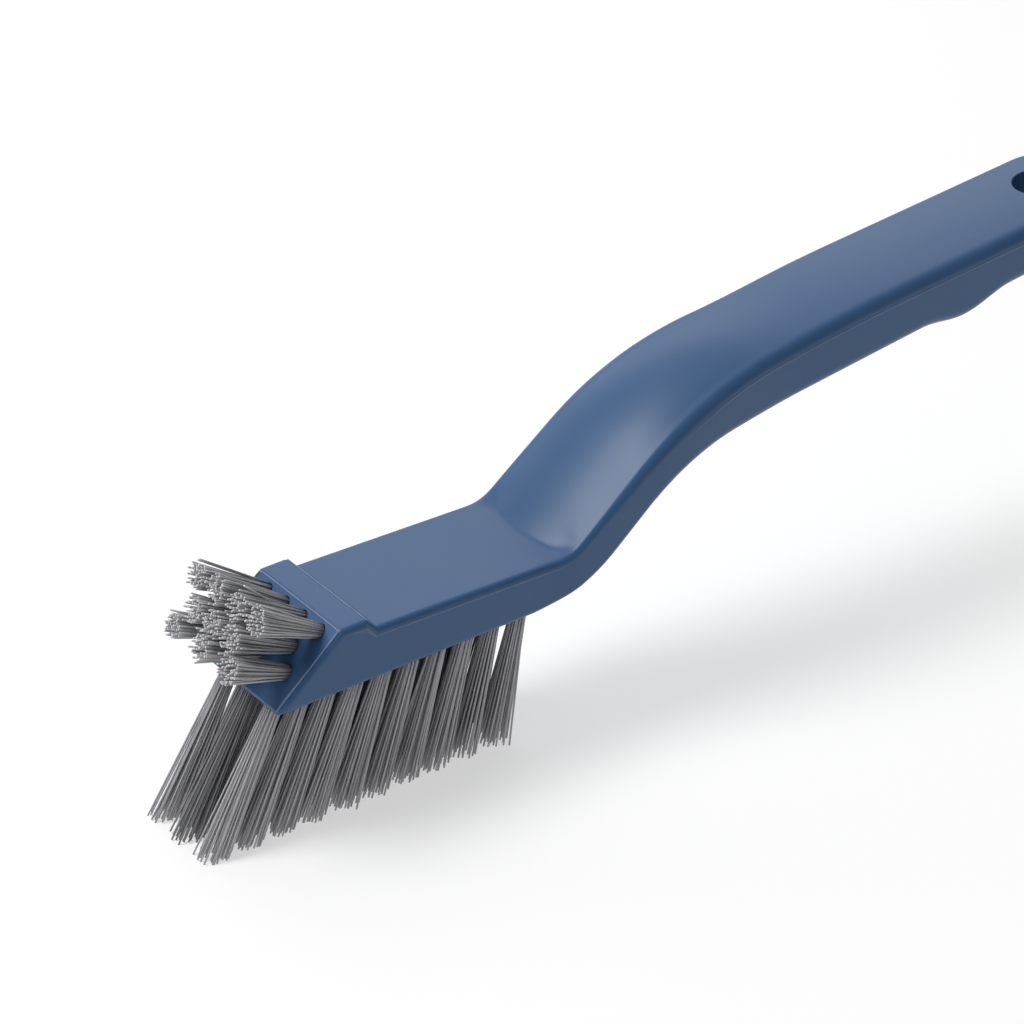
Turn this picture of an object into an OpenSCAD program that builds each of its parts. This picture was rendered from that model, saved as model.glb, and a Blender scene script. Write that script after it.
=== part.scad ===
// Grout brush: one moulded handle with a stepped grip, thirty bristle tufts under the head,
// ten more on its slanted nose, and a flat metal anchor that holds each tuft in its hole.
// The brush stands on its bristle tips at z = 0, with its nose towards -X and its grip towards +X.

/* [Head] */
// Width of the head
head_w = 24.4; // [22:0.2:32]
// Height of the head's underside above the bristle tips
bristle_h = 25.5; // [18:0.5:34]
// Thickness of the head behind its lip
head_t = 9.8; // [9:0.1:14]
// Length of the head's top, from the lip's front edge to the crease
head_l = 45.7; // [44.5:0.1:60]
// Fall of the head's top towards the crease
head_fall = 1.2; // [0:0.1:2]
// Height of the lip above the head's top
lip_h = 2; // [0.5:0.1:3]
// Length of the lip's flat top
lip_l = 4.9; // [2:0.1:8]
// Length of the slope behind the lip
lip_slope_l = 2; // [1.6:0.1:4]
// Angle of the slanted nose face above the floor
nose_angle = 40.3; // [36:0.1:46]
// Radius of the nose's front edge
nose_r = 0.7; // [0.4:0.1:1]
// Radius of the nose's corners seen from above
nose_corner_r = 1.6; // [0.5:0.1:3]
// Radius along the head's long edges
head_edge_r = 1.1; // [0.4:0.1:1.6]

/* [Neck] */
// Width of the neck at its widest
neck_w = 25.6; // [22:0.2:33]
// Rise of the neck's top from the crease to the shoulder
neck_rise = 20.9; // [14:0.1:28]
// Angle of the neck above the floor
neck_angle = 38; // [28:1:42]
// Thickness of the neck, square to its slope
neck_t = 7.9; // [6:0.1:9]
// Height of the neck's crown across its width
neck_crown = 1.3; // [0:0.1:2]
// Radius of the crease between the head's top and the neck
crease_r = 8; // [3:1:12]
// Radius of the bend under the neck
under_bend_r = 23; // [8:1:24]
// Radius of the shoulder on top
shoulder_r = 60; // [40:1:80]
// Radius of the shoulder underneath
under_shoulder_r = 40; // [20:1:44]

/* [Grip] */
// Length of the grip from the shoulder to its end
grip_l = 102; // [90:0.5:130]
// Width of the grip
grip_w = 22; // [18:0.5:24]
// Thickness of the grip at the shoulder
grip_t = 10.8; // [9:0.1:14]
// Thickness of the grip at its end
tail_t = 9.2; // [7:0.1:12]
// Slope of the grip's first stretch
grip_rise = 8; // [4:0.5:12]
// Slope of the grip's last stretch
tail_rise = 5; // [2:0.5:8]
// Length of the grip's first stretch
grip_bend_l = 39.5; // [34:0.5:50]
// Height of the grip's crown across its width
grip_crown = 0.4; // [0:0.1:1]
// Radius along the long edges of the neck and grip
grip_edge_r = 2.8; // [1:0.1:3.2]
// Height of the finger stop under the grip
stop_h = 1.7; // [0:0.1:3]
// Length of the finger stop
stop_l = 21; // [12:1:26]
// Distance of the finger stop from the shoulder
stop_x = 62.5; // [50:0.5:70]
// Distance from the shoulder back to where the neck starts to narrow
waist_back = 10; // [0:1:14]
// Length over which the neck narrows to the grip
waist_l = 36; // [20:1:44]
// Diameter of the hanging hole
hang_d = 9; // [5:0.1:12]
// Distance of the hanging hole's centre from the grip's end
hang_in = 13.5; // [11:0.5:18]
// Length over which the head widens to the neck
neck_widen_l = 8; // [5:1:20]
// Distance of that stretch's start from the crease
neck_widen_back = 5; // [0:1:8]
// Length over which the edges grow from the head's radius to the grip's
edge_blend_l = 22; // [14:1:30]
// Distance of that stretch's start from the crease
edge_blend_back = 6; // [2:1:8]
// Length over which the neck's crown rises, from 1 mm before the crease
crown_rise_l = 7; // [5:1:10]
// Length over which the neck's crown falls to the grip's
crown_fall_l = 30; // [20:1:40]

/* [Tufts] */
// Diameter of a tuft hole
hole_d = 2.8; // [2.4:0.1:3.3]
// Depth of a tuft hole where the head is thick
hole_depth = 5; // [4:0.1:5.6]
// Columns of tufts under the head
base_columns = 10; // [3:1:10]
// Distance between the columns
column_pitch = 5.45; // [4.6:0.05:6]
// Distance between the three rows under the head
row_pitch = 6.4; // [5.8:0.1:7.2]
// Distance of the first column from the nose's sharp corner
first_column = 4.9; // [4.6:0.1:5.5]
// Forward lean of the tufts at the back of the head
lean_back = 15.5; // [8:0.5:18]
// Forward lean of the tufts at the front
lean_front = 28.5; // [20:0.5:30]
// Outward lean of the two outer rows
lean_out = 1.5; // [0:0.5:3]
// Plastic between the lip's edge and the first row of holes in the nose
nose_edge_wall = 1; // [0.8:0.1:2]
// Plastic between the centre and the low row of holes in the nose
row_wall = 1.1; // [0.7:0.1:1.2]
// Distance of the nose's low row from its sharp corner, up the slope
low_row_rise = 7.34; // [7.2:0.01:7.6]
// Plastic between two holes of the nose's top row
top_hole_wall = 2.33; // [1.4:0.01:2.6]
// Plastic between two holes of the nose's centre row
centre_hole_wall = 2.2; // [1.4:0.1:2.6]
// Plastic between two holes of the nose's low row
low_hole_wall = 4.7; // [4:0.1:5]
// Length of the nose's top tufts beyond their holes
front_tuft_l = 14.4; // [10:0.2:18]
// Shortening of the nose's tufts for each millimetre down the slope, which puts their tips in one plane
front_cut = 0.22; // [0:0.01:0.3]
// Outward lean of a front tuft for each millimetre from the middle
front_lean_out = 0.4; // [0.35:0.05:0.8]
// Radius of a strand where it leaves its hole
strand_root_r = 0.26; // [0.15:0.01:0.26]
// Radius of a strand at its tip
strand_tip_r = 0.34; // [0.15:0.01:0.36]

/* [Anchors] */
// Thickness of an anchor plate
anchor_t = 0.35; // [0.2:0.05:0.5]
// Height of an anchor plate
anchor_h = 1.2; // [0.8:0.1:1.4]
// Bite of an anchor plate into the plastic at each side
anchor_bite = 0.35; // [0.1:0.05:0.4]

/* [Fits] */
// Gap between a tuft and its hole
tuft_gap = 0.05; // [0.03:0.01:0.1]
// Gap between an anchor and what it sits in
anchor_gap = 0.02; // [0.01:0.01:0.05]
// Gap between two strands where they leave their hole
strand_gap = 0.1; // [0.05:0.01:0.2]
// Gap between the tips of two neighbouring tufts under the head
base_tip_gap = 0.06; // [0.04:0.01:0.5]
// Gap between the tips of two neighbouring tufts on the nose
front_tip_gap = 0.95; // [0.4:0.05:1.5]

/* [Hidden] */
ROWS = ["near", "middle", "far"];
// Distances of the three rows of holes on the nose from the lip's edge, down the slope
top_row_s = nose_edge_wall + hole_d / 2;
low_row_s = (head_t + lip_h) / sin(nose_angle) - low_row_rise;
centre_row_s = low_row_s - hole_d - row_wall;
// Each row on the nose: name, that distance, pitch across, number of tufts, upward lean
FRONT_ROWS = [
    ["top", top_row_s, hole_d + top_hole_wall, 4, 30],
    ["centre", centre_row_s, hole_d + centre_hole_wall, 3, 28],
    ["low", low_row_s, hole_d + low_hole_wall, 3, 25]
];

function base_name(row, column) = str("base_tuft_", ROWS[row], "_", column + 1);
function front_name(row, place) = str("front_tuft_", FRONT_ROWS[row][0], "_", place + 1);

PLASTIC = [0.22, 0.35, 0.55];
BRISTLE = [0.62, 0.62, 0.63];
METAL = [0.78, 0.76, 0.72];

// Side view of the handle, measured from the lip's front edge, as corners [x, z, radius]

lip_z = bristle_h + head_t + lip_h;
head_z = bristle_h + head_t;
crease_z = head_z - head_fall;
nose_x = -(lip_z - bristle_h) / tan(nose_angle);
shoulder_x = head_l + neck_rise / tan(neck_angle);
shoulder_z = crease_z + neck_rise;
bend_x = shoulder_x + grip_bend_l;
bend_z = shoulder_z + grip_bend_l * tan(grip_rise);
end_x = shoulder_x + grip_l;
end_z = bend_z + (end_x - bend_x) * tan(tail_rise);
grip_bend_r = 300;
lip_edge_r = 0.6;
lip_foot_r = 1.2;

top_line = [
    [nose_x, bristle_h, 0],
    [0, lip_z, lip_edge_r],
    [lip_l, lip_z, lip_edge_r],
    [lip_l + lip_slope_l, head_z, lip_foot_r],
    [head_l, crease_z, crease_r],
    [shoulder_x, shoulder_z, shoulder_r],
    [bend_x, bend_z, grip_bend_r],
    [end_x, end_z, 0]
];

// The neck's underside runs parallel to its top and meets the underside of the head and of the grip
under_grip_slope = (end_z - tail_t - shoulder_z + grip_t) / grip_l;
under_bend_x = head_l + (neck_t / cos(neck_angle) - (crease_z - bristle_h)) / tan(neck_angle);
under_run = (shoulder_z - grip_t - bristle_h - (shoulder_x - under_bend_x) * under_grip_slope)
    / (tan(neck_angle) - under_grip_slope);

under_line = [
    [nose_x, bristle_h, 0],
    [under_bend_x, bristle_h, under_bend_r],
    [under_bend_x + under_run, bristle_h + under_run * tan(neck_angle), under_shoulder_r],
    [end_x, end_z - tail_t, 0]
];

function slope(a, b) = atan2(b[1] - a[1], b[0] - a[0]);
function along(x, a, b) = a[1] + (x - a[0]) * tan(slope(a, b));
function reach(a, p, b) = p[2] * tan(abs(slope(p, b) - slope(a, p)) / 2);

// Height on the arc that rounds corner p between a and b
function on_bend(x, a, p, b) =
    let (s = slope(a, p))
    let (side = sign(slope(p, b) - s))
    let (from = [p[0], p[1]] - reach(a, p, b) * [cos(s), sin(s)])
    let (centre = from + side * p[2] * [-sin(s), cos(s)])
    centre[1] - side * sqrt(max(0, p[2] * p[2] - (x - centre[0]) * (x - centre[0])));

// Height at x of a line through rounded corners
function height(x, line, i = 1) =
    i > len(line) - 2 ? along(x, line[i - 1], line[i]) :
    let (a = line[i - 1], p = line[i], b = line[i + 1], r = reach(line[i - 1], line[i], line[i + 1]))
    x < p[0] - r * cos(slope(a, p)) ? along(x, a, p) :
    x <= p[0] + r * cos(slope(p, b)) ? on_bend(x, a, p, b) :
    height(x, line, i + 1);

function smooth(t) = t <= 0 ? 0 : t >= 1 ? 1 : t * t * (3 - 2 * t);
function mix(a, b, t) = a + (b - a) * t;
function inset(r, d) = d >= r ? 0 : r - sqrt(r * r - (r - d) * (r - d));

// The nose's edge is an arc between the slanted face and the underside
nose_centre = [nose_x + nose_r / tan(nose_angle / 2), bristle_h + nose_r];
nose_tip_x = nose_centre[0] - nose_r;
hang_x = end_x - hang_in;
round_x = end_x - grip_w / 2;
hang_tilt = (tail_rise + atan(under_grip_slope)) / 2;

function nose_arc(x) = sqrt(max(0, nose_r * nose_r - (x - nose_centre[0]) * (x - nose_centre[0])));
function stop_swell(x) =
    let (d = abs(x - shoulder_x - stop_x) / (stop_l / 2))
    d >= 1 ? 0 : stop_h * (1 + cos(180 * d)) / 2;

function top_z(x) =
    let (tangent_x = nose_centre[0] - nose_r * sin(nose_angle))
    (x < tangent_x ? nose_centre[1] + nose_arc(x) : height(x, top_line)) - inset(grip_edge_r, end_x - x);
function under_z(x) =
    (x < nose_centre[0] ? nose_centre[1] - nose_arc(x) : height(x, under_line))
    - stop_swell(x) + inset(grip_edge_r, end_x - x);

// Half width: square head, narrowing neck, and a grip that ends in a half circle
function half_w(x) =
    x > round_x ? sqrt(max(0, grip_w * grip_w / 4 - (x - round_x) * (x - round_x))) :
    (mix(head_w, neck_w, smooth((x - head_l + neck_widen_back) / neck_widen_l))
    + mix(0, grip_w - neck_w, smooth((x - shoulder_x + waist_back) / waist_l))) / 2
    - inset(nose_corner_r, x - nose_tip_x);
// The largest share of the thickness and of the half width that an edge radius takes
EDGE_SHARE_T = 0.48;
EDGE_SHARE_W = 0.9;
function edge_r(x) =
    let (wanted = mix(head_edge_r, grip_edge_r, smooth((x - head_l + edge_blend_back) / edge_blend_l)))
    min(wanted, EDGE_SHARE_T * (top_z(x) - under_z(x)), EDGE_SHARE_W * half_w(x));
function crown(x) =
    mix(0, neck_crown, smooth((x - head_l + 1) / crown_rise_l))
    + mix(0, grip_crown - neck_crown, smooth((x - shoulder_x) / crown_fall_l));

// Unit normals of the top and the underside, taken over a short step, without the end's rounding
STEP = 0.05;
function top_normal(x) =
    let (s = atan2(height(x + STEP, top_line) - height(x - STEP, top_line), 2 * STEP))
    [-sin(s), cos(s)];
function under_normal(x) =
    let (s = atan2(height(x + STEP, under_line) - height(x - STEP, under_line), 2 * STEP))
    [sin(s), -cos(s)];

// One section of the handle at x, as a ring of points
EDGE_STEPS = 4;
CROWN_STEPS = [-0.75, -0.5, -0.25, 0, 0.25, 0.5, 0.75];
function edge_point(x, z, normal, side, a) =
    let (r = edge_r(x), w = half_w(x), deep = r * (1 - cos(a)))
    [x - normal[0] * deep, side * (w - r + r * sin(a)), z - normal[1] * deep];
function ring(x) =
    let (zt = top_z(x), zu = under_z(x), nt = top_normal(x), nu = under_normal(x))
    let (flat = half_w(x) - edge_r(x), n = EDGE_STEPS)
    concat(
        [for (f = CROWN_STEPS) [x, f * flat, zt + crown(x) * (1 - f * f)]],
        [for (i = [0:n]) edge_point(x, zt, nt, 1, 90 * i / n)],
        [for (i = [n:-1:0]) edge_point(x, zu, nu, 1, 90 * i / n)],
        [for (i = [0:n]) edge_point(x, zu, nu, -1, 90 * i / n)],
        [for (i = [n:-1:0]) edge_point(x, zt, nt, -1, 90 * i / n)]
    );

// Places of the sections: dense on arcs, sparse on straight stretches
function steps(from, to, n) = [for (i = [0:n - 1]) mix(from, to, i / n)];
STATIONS = concat(
    [for (a = [15:25:90]) nose_centre[0] - nose_r * cos(a)],
    steps(nose_centre[0], -0.3, 3),
    steps(-0.3, 0.4, 3),
    steps(lip_l - 0.4, lip_l + 0.4, 3),
    steps(lip_l + lip_slope_l - 0.7, lip_l + lip_slope_l + 0.7, 3),
    steps(lip_l + lip_slope_l + 2.5, head_l - 8, 3),
    steps(head_l - 6, head_l + 7, 13),
    steps(head_l + 7, shoulder_x + 22, 13),
    steps(shoulder_x + 22, shoulder_x + stop_x - stop_l / 2, 5),
    steps(shoulder_x + stop_x - stop_l / 2, shoulder_x + stop_x + stop_l / 2, 10),
    steps(shoulder_x + stop_x + stop_l / 2, round_x, 3),
    [for (a = [0:8:88]) round_x + grip_w / 2 * sin(a)]
);

// Middle of the box round a ring of points
function middle(r) = [for (axis = [0:2]) (min([for (p = r) p[axis]]) + max([for (p = r) p[axis]])) / 2];

module loft(rings) {
    n = len(rings[0]);
    last = len(rings) - 1;
    points = concat([for (r = rings) each r], [middle(rings[0]), middle(rings[last])]);
    sides = [for (s = [0:last - 1]) for (i = [0:n - 1])
        let (a = s * n + i, b = s * n + (i + 1) % n)
        each [[a, b, b + n], [a, b + n, a + n]]];
    front = [for (i = [0:n - 1]) [(last + 1) * n, (i + 1) % n, i]];
    back = [for (i = [0:n - 1]) [(last + 1) * n + 1, last * n + i, last * n + (i + 1) % n]];
    polyhedron(points, concat(sides, front, back));
}

// Tufts: each is [mouth, pitch, roll, depth], where pitch and roll turn +Z into the hole. On the nose
// the tuft's length beyond its hole comes last.

function into(pitch, roll) = [cos(roll) * sin(pitch), -sin(roll), cos(roll) * cos(pitch)];
function across(pitch) = [cos(pitch), 0, -sin(pitch)];
function sideways(pitch, roll) = [sin(roll) * sin(pitch), cos(roll), sin(roll) * cos(pitch)];

// Base and front holes share the plastic between them near the nose, each up to a part of what covers it
BASE_COVER_SHARE = 0.42;
BASE_COVER_MORE = 1;
FRONT_COVER_SHARE = 0.3;
FRONT_COVER_MORE = 1.4;
FRONT_DEPTH_SHARE = 0.9;

function base_depth(x) = min(hole_depth, BASE_COVER_SHARE * (x - nose_x) * sin(nose_angle) + BASE_COVER_MORE);
function front_depth(z) =
    min(FRONT_DEPTH_SHARE * hole_depth, FRONT_COVER_SHARE * (z - bristle_h) + FRONT_COVER_MORE);
function base_tuft(row, column) =
    let (x = nose_x + first_column + column * column_pitch)
    let (pitch = mix(lean_front, lean_back, column / (base_columns - 1)))
    [[x, (row - 1) * row_pitch, under_z(x)], pitch, (row - 1) * lean_out, base_depth(x)];

function front_tuft(row, place) =
    let (spec = FRONT_ROWS[row])
    let (z = lip_z - spec[1] * sin(nose_angle))
    let (y = (place - (spec[3] - 1) / 2) * spec[2])
    let (length = front_tuft_l - front_cut * (spec[1] - top_row_s))
    [[-spec[1] * cos(nose_angle), y, z], 90 + spec[4], front_lean_out * y, front_depth(z), length];

base_tufts = [
    for (row = [0:len(ROWS) - 1])
        for (column = [0:base_columns - 1]) base_tuft(row, column)
];
front_tufts = [
    for (row = [0:len(FRONT_ROWS) - 1])
        for (place = [0:FRONT_ROWS[row][3] - 1]) front_tuft(row, place)
];

// Places of the strands in a tuft: three inside, nine round them
INNER = 3;
OUTER = 9;
hole_r = hole_d / 2;
slug_r = hole_r - tuft_gap;
SLUG_PROUD = 0.8;
INNER_SHARE = 0.43;
outer_r = slug_r - strand_root_r - strand_gap;
inner_r = INNER_SHARE * outer_r;
STRANDS = concat(
    [for (i = [0:INNER - 1]) inner_r * [cos(360 * i / INNER + 30), sin(360 * i / INNER + 30)]],
    [for (i = [0:OUTER - 1]) outer_r * [cos(360 * i / OUTER), sin(360 * i / OUTER)]]
);

// Growth of a tuft's radius from its hole to its tips, so that neighbours keep their gap there
lean_step = (lean_front - lean_back) / (base_columns - 1);
base_tip_pitch = column_pitch + bristle_h * (tan(lean_front) - tan(lean_front - lean_step));
base_spread = ((base_tip_pitch - base_tip_gap) * cos(lean_front) - 1.5 * strand_tip_r) / (2 * outer_r);
front_pitch = min([for (spec = FRONT_ROWS) spec[2]]);
front_tip_pitch = front_pitch + front_tuft_l * tan(front_lean_out * front_pitch);
front_spread = (front_tip_pitch - front_tip_gap - sqrt(3) * strand_tip_r) / (2 * outer_r);

// Strands fan out in proportion to their place, so that none of them cross
function strand_root(tuft, place) =
    tuft[0] + place[0] * across(tuft[1]) + place[1] * sideways(tuft[1], tuft[2]);
function strand_way(tuft, place, length, spread) =
    let (grow = (spread - 1) / length)
    grow * (strand_root(tuft, place) - tuft[0]) - into(tuft[1], tuft[2]);

// Tip of a base strand on the floor, and of a front strand at its cut length
function floor_tip(tuft, place) =
    let (root = strand_root(tuft, place))
    let (way = strand_way(tuft, place, bristle_h / cos(tuft[1]), base_spread))
    root - way * root[2] / way[2];
function cut_tip(tuft, place) =
    strand_root(tuft, place) + tuft[4] * strand_way(tuft, place, tuft[4], front_spread);

SIDES = 3;
function ring_at(centre, u, v, r) = [
    for (i = [0:SIDES - 1])
        let (a = 360 * i / SIDES)
        centre + r * (cos(a) * u + sin(a) * v)
];

module strand(root, tip) {
    points = concat(root, tip);
    sides = [for (i = [0:SIDES - 1])
        let (j = (i + 1) % SIDES)
        each [[j + SIDES, i + SIDES, i], [j, j + SIDES, i]]];
    polyhedron(points, concat([[2, 1, 0]], [[3, 4, 5]], sides));
}

module aimed(tuft) {
    translate(tuft[0]) rotate([tuft[2], tuft[1], 0]) children();
}

// Distance of an anchor from the bottom of its hole
ANCHOR_BACK = 0.3;

module anchor_shape(tuft, length, gap) {
    aimed(tuft)
        translate([0, 0, tuft[3] - ANCHOR_BACK - anchor_h / 2])
            cube([anchor_t + 2 * gap, length + 2 * gap, anchor_h + 2 * gap], center = true);
}

module slug(tuft) {
    difference() {
        aimed(tuft)
            translate([0, 0, -SLUG_PROUD])
                cylinder(r = slug_r, h = tuft[3] + SLUG_PROUD - tuft_gap, $fn = 32);
        anchor_shape(tuft, hole_d, anchor_gap);
    }
}

module tuft_hole(tuft) {
    aimed(tuft) translate([0, 0, -2 * hole_r]) cylinder(r = hole_r, h = tuft[3] + 2 * hole_r, $fn = 32);
    anchor_shape(tuft, hole_d + 2 * anchor_bite, anchor_gap);
}

module base_tuft_body(tuft) {
    u = across(tuft[1]);
    v = sideways(tuft[1], tuft[2]);
    color(BRISTLE) union() {
        slug(tuft);
        for (place = STRANDS)
            strand(
                ring_at(strand_root(tuft, place), u, v, strand_root_r),
                ring_at(floor_tip(tuft, place), [1 / cos(tuft[1]), 0, 0], [0, 1, 0], strand_tip_r)
            );
    }
}

module front_tuft_body(tuft) {
    u = across(tuft[1]);
    v = sideways(tuft[1], tuft[2]);
    color(BRISTLE) union() {
        slug(tuft);
        for (place = STRANDS)
            strand(
                ring_at(strand_root(tuft, place), u, v, strand_root_r),
                ring_at(cut_tip(tuft, place), u, v, strand_tip_r)
            );
    }
}

module anchors(tufts) {
    color(METAL) for (tuft = tufts) anchor_shape(tuft, hole_d + 2 * anchor_bite, 0);
}

module handle() {
    color(PLASTIC) difference() {
        loft([for (x = STATIONS) ring(x)]);
        for (tuft = base_tufts) tuft_hole(tuft);
        for (tuft = front_tufts) tuft_hole(tuft);
        translate([hang_x, 0, (top_z(hang_x) + under_z(hang_x)) / 2])
            rotate([0, -hang_tilt, 0])
                cylinder(d = hang_d, h = 3 * tail_t, center = true, $fn = 96);
    }
}

// The origin lies on the floor under the middle of the whole brush
front_reach = min([for (place = STRANDS) floor_tip(base_tuft(1, 0), place)[0]]) - strand_tip_r;
middle_x = (front_reach + end_x) / 2;

module placed() {
    translate([-middle_x, 0, 0]) children();
}

placed() handle();
placed() anchors(base_tufts);  // base_tuft_anchors
placed() anchors(front_tufts);  // front_tuft_anchors
for (row = [0:len(ROWS) - 1])
    for (column = [0:base_columns - 1])
        placed() base_tuft_body(base_tuft(row, column));
for (row = [0:len(FRONT_ROWS) - 1])
    for (place = [0:FRONT_ROWS[row][3] - 1])
        placed() front_tuft_body(front_tuft(row, place));
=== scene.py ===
"""Grout brush on a pale floor, seen from the photograph's angle."""
import math
import random

import bmesh
import bpy
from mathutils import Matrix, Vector


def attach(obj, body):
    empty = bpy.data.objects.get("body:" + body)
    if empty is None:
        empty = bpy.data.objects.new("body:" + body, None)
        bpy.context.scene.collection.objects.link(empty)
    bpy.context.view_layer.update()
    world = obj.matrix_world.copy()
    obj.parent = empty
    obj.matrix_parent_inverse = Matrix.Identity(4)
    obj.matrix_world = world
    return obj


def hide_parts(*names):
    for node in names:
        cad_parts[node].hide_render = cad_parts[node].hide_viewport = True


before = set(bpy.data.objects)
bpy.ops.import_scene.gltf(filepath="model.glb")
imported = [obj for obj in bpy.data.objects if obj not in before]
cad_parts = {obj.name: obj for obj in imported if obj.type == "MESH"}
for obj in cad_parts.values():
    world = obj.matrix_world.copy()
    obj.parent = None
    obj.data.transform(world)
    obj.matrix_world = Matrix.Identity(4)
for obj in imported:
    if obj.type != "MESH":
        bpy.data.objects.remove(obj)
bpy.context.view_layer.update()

# Lengths are in millimetres, and x is measured from the lip's front edge until place() moves it
MM = 0.001
LIP_X = -74.267
TINY = 1e-9

# Camera that was fitted to the photograph, with its clipping distances in metres
CAMERA_AT = (-288.775, -447.211, 377.363)
CAMERA_TURN = 36.5554
CAMERA_DIP = 31.3476
CAMERA_LENS = 136.44
CAMERA_SENSOR = 36
CAMERA_CLIP = (0.01, 20)

# Head and nose
HEAD_W = 24.4
HEAD_EDGE = 1.1
BRISTLE_H = 25.5
LIP_Z = 37.3
LIP_L = 4.9
LIP_SLOPE_L = 2.0
HEAD_Z = 35.3
CREASE = (45.7, 34.1)
NOSE_ANGLE = math.radians(40.3)
NOSE_R = 0.7
NOSE_CORNER = 1.6
NOSE_ARC_SLOPE = 0.85
NOSE_X = -(LIP_Z - BRISTLE_H) / math.tan(NOSE_ANGLE)
NOSE_CENTRE = (NOSE_X + NOSE_R / math.tan(NOSE_ANGLE / 2), BRISTLE_H + NOSE_R)
NOSE_TIP = NOSE_CENTRE[0] - NOSE_R

# Neck
NECK_W = 25.6
NECK_T = 7.9
NECK_RISE = 20.9
NECK_SLOPE = math.tan(math.radians(38))
NECK_CROWN = 1.7
HEAD_SLOPE = (CREASE[1] - HEAD_Z) / (CREASE[0] - LIP_L - LIP_SLOPE_L)
SHOULDER = (CREASE[0] + NECK_RISE / NECK_SLOPE, CREASE[1] + NECK_RISE)

# Crease: how far the neck's plane is moved back at its foot, the length over which that ends, how
# soft the crease is, and how soon it is crisp on the way in from the edges
CREASE_SHIFT = 0.4
CREASE_SHIFT_L = 7
CREASE_SOFTNESS = 0.35
CREASE_REACH = 1.5

# Grip, with its finger stop, hanging hole and round end
GRIP_W = 22.0
GRIP_EDGE = 2.4
GRIP_L = 102.0
GRIP_T = 10.8
TAIL_T = 9.2
GRIP_CROWN = 0.4
GRIP_BEND_L = 39.5
GRIP_SLOPE = math.tan(math.radians(8))
TAIL_SLOPE = math.tan(math.radians(5))
GRIP_BEND = (SHOULDER[0] + GRIP_BEND_L, SHOULDER[1] + GRIP_BEND_L * GRIP_SLOPE)
GRIP_END = (SHOULDER[0] + GRIP_L, GRIP_BEND[1] + (GRIP_L - GRIP_BEND_L) * TAIL_SLOPE)
STOP_FROM_SHOULDER = 62.5
STOP_X = SHOULDER[0] + STOP_FROM_SHOULDER
STOP_L = 21.0
STOP_H = 1.7
HANG_FROM_END = 13.5
HANG_X = GRIP_END[0] - HANG_FROM_END
HANG_R = 4.5
HANG_RIM = 0.3
HANG_TILT = math.radians(6.026)
ROUND_X = GRIP_END[0] - GRIP_W / 2

# Under line of the neck, parallel to its top, and of the grip
UNDER_SLOPE = (GRIP_END[1] - TAIL_T - SHOULDER[1] + GRIP_T) / GRIP_L
UNDER_BEND = CREASE[0] + (NECK_T * math.sqrt(1 + NECK_SLOPE ** 2) - (CREASE[1] - BRISTLE_H)) / NECK_SLOPE
UNDER_RUN = ((SHOULDER[1] - GRIP_T - BRISTLE_H - (SHOULDER[0] - UNDER_BEND) * UNDER_SLOPE)
             / (NECK_SLOPE - UNDER_SLOPE))

# Corners of the side view as (x, z, radius of the bend there)
TOP_LINE = [
    (NOSE_X, BRISTLE_H, 0),
    (0, LIP_Z, 0.6),
    (LIP_L, LIP_Z, 0.7),
    (LIP_L + LIP_SLOPE_L, HEAD_Z, 1.2),
    (*CREASE, 8),
    (*SHOULDER, 60),
    (*GRIP_BEND, 300),
    (*GRIP_END, 0),
]
UNDER_LINE = [
    (NOSE_X, BRISTLE_H, 0),
    (UNDER_BEND, BRISTLE_H, 30),
    (UNDER_BEND + UNDER_RUN, BRISTLE_H + UNDER_RUN * NECK_SLOPE, 40),
    (GRIP_END[0], GRIP_END[1] - TAIL_T, 0),
]

# Stretches of the handle over which a measure changes, as (start, length)
HEAD_WIDENS = (CREASE[0] - 5, 8)
NECK_NARROWS = (SHOULDER[0] - 10, 36)
EDGE_GROWS = (CREASE[0] - 2, 30)
CROWN_RISES = (CREASE[0], 3.5)
CROWN_FALLS = (SHOULDER[0], 30)
CROWN_ENDS = (ROUND_X - 4, 14)
CRISP_STARTS = (CREASE[0] - 9, 3)
CRISP_ENDS = (CREASE[0] + 7, 3)

# A rounded edge takes at most this share of the thickness
EDGE_SHARE = 0.48

# Points of a section: steps over half of its flat part and over one rounded edge, and the least
# flat width that a place across it is divided by
FLAT_STEPS = 12
EDGE_STEPS = 7
LEAST_FLAT = 0.01

# Sections along the handle: angles in degrees round the nose and round the end, and between them
# stretches as (x where the stretch ends, number of sections in it)
NOSE_STATIONS = range(8, 90, 9)
STRETCHES = [
    (-0.35, 8),
    (0.35, 7),
    (LIP_L - 0.5, 3),
    (LIP_L + 0.5, 7),
    (LIP_L + LIP_SLOPE_L + 0.7, 7),
    (CREASE[0] - 7, 10),
    (CREASE[0] + 8, 56),
    (SHOULDER[0] + 24, 40),
    (STOP_X - STOP_L / 2, 16),
    (STOP_X + STOP_L / 2, 24),
    (ROUND_X, 10),
]
END_STATIONS = (*range(0, 72, 4), 73, 76, 79, 82, 84.5, 86.5, 88.2, 89.3)

# Cores of the holes. The drill's rings are (depth, radius), with a small chamfer at the mouth.
# The hanging core stands out past the plastic, and its rims start a little above the grip's top.
HOLE_R = 1.4
DRILL_SIDES = 28
DRILL = [(-3.0, HOLE_R + 0.1), (-0.05, HOLE_R + 0.1), (0.12, HOLE_R), (3.2, HOLE_R)]
CORE_SIDES = 64
CORE_OVER = 1
CORE_RIM_START = 0.15
CORE_RIM_ANGLES = range(0, 91, 15)
SIDEWAYS = Vector((0, 1, 0))

# Angles in degrees up to which an edge is shaded smooth
SMOOTH_ANGLE = 35
BEAD_SMOOTH_ANGLE = 60

# Beads are fine raised lines. None of them runs along the reference direction.
BEAD_SIDES = 12
BEAD_REFERENCE = Vector((0.3, 0.8, -0.5))

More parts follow.
